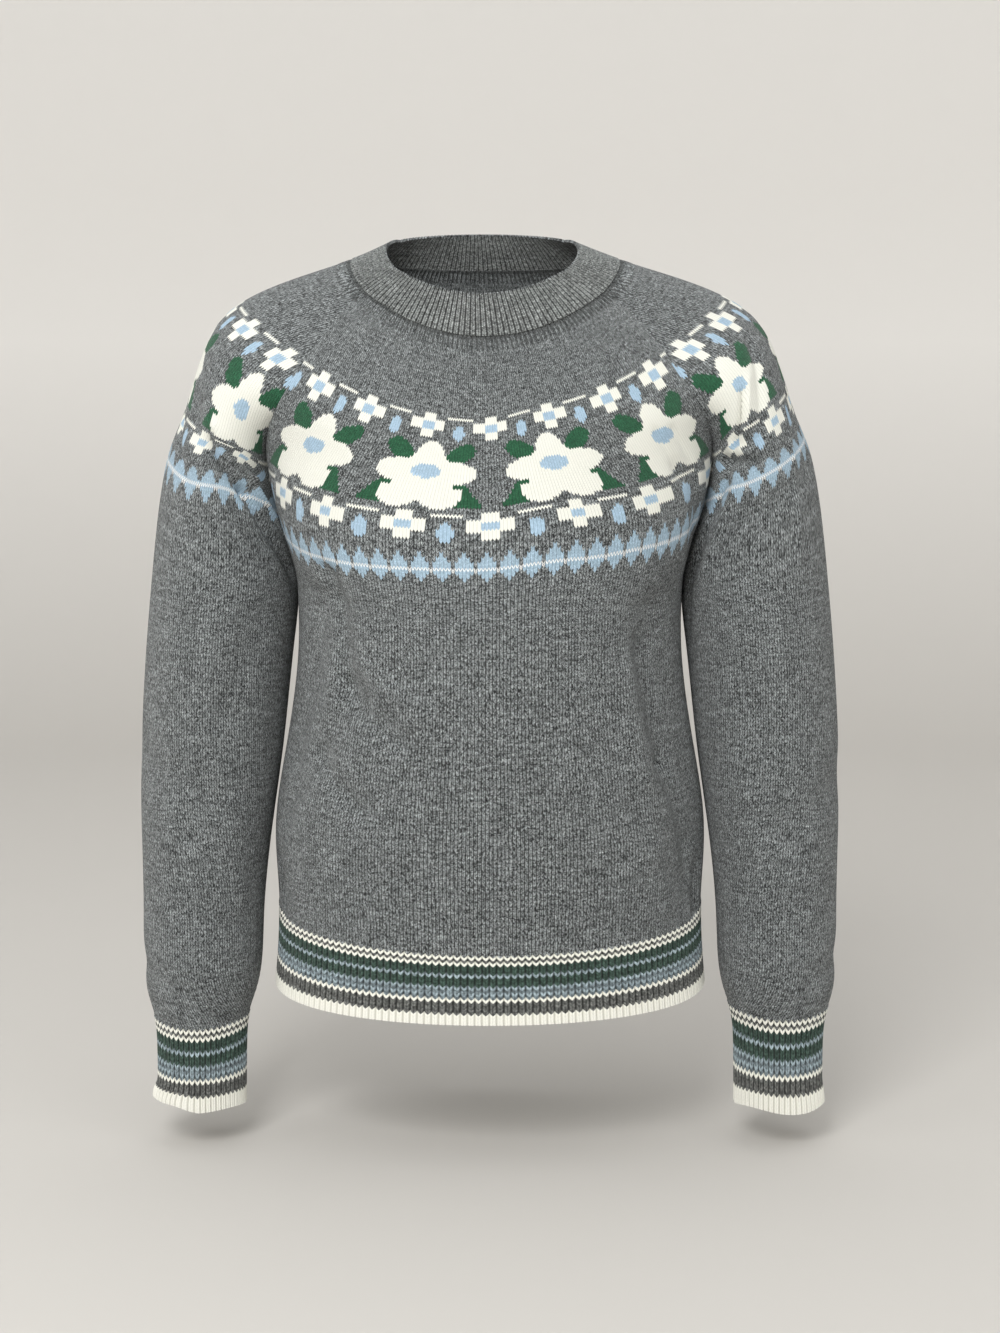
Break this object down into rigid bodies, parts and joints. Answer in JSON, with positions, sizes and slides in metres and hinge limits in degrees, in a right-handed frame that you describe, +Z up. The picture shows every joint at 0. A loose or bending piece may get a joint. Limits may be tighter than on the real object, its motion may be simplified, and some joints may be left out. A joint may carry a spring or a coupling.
{
  "type": "crewneck sweater",
  "caption": "Hollow knitted crewneck sweater in worn form, arms down, with raglan seams, a patterned round yoke and ribbed neckband, hem and cuffs",
  "frame": {"origin": "between the shoulders at the height of the neck's base, where the garment is held up in wear", "axes": "+Z up, front towards -Y, right sleeve towards +X; metres"},
  "size_m": [0.5583, 0.2319, 0.6963],
  "materials": {
    "front_knit": "heather grey jersey with a yoke in cream, blue and green",
    "back_knit": "heather grey jersey with a yoke in cream, blue and green",
    "left_sleeve_knit": "heather grey jersey with a yoke in cream, blue and green",
    "right_sleeve_knit": "heather grey jersey with a yoke in cream, blue and green",
    "neckband_knit": "heather grey rib",
    "front_hem_knit": "rib striped in cream, grey, green and blue",
    "back_hem_knit": "rib striped in cream, grey, green and blue",
    "left_cuff_knit": "rib striped in cream, grey, green and blue",
    "right_cuff_knit": "rib striped in cream, grey, green and blue"
  },
  "bodies": {
    "root": {"front_panel": "front_knit", "back_panel": "back_knit", "left_sleeve": "left_sleeve_knit", "right_sleeve": "right_sleeve_knit", "neckband_rib": "neckband_knit", "front_hem_rib": "front_hem_knit", "back_hem_rib": "back_hem_knit", "left_cuff_rib": "left_cuff_knit", "right_cuff_rib": "right_cuff_knit"}
  },
  "joints": []
}
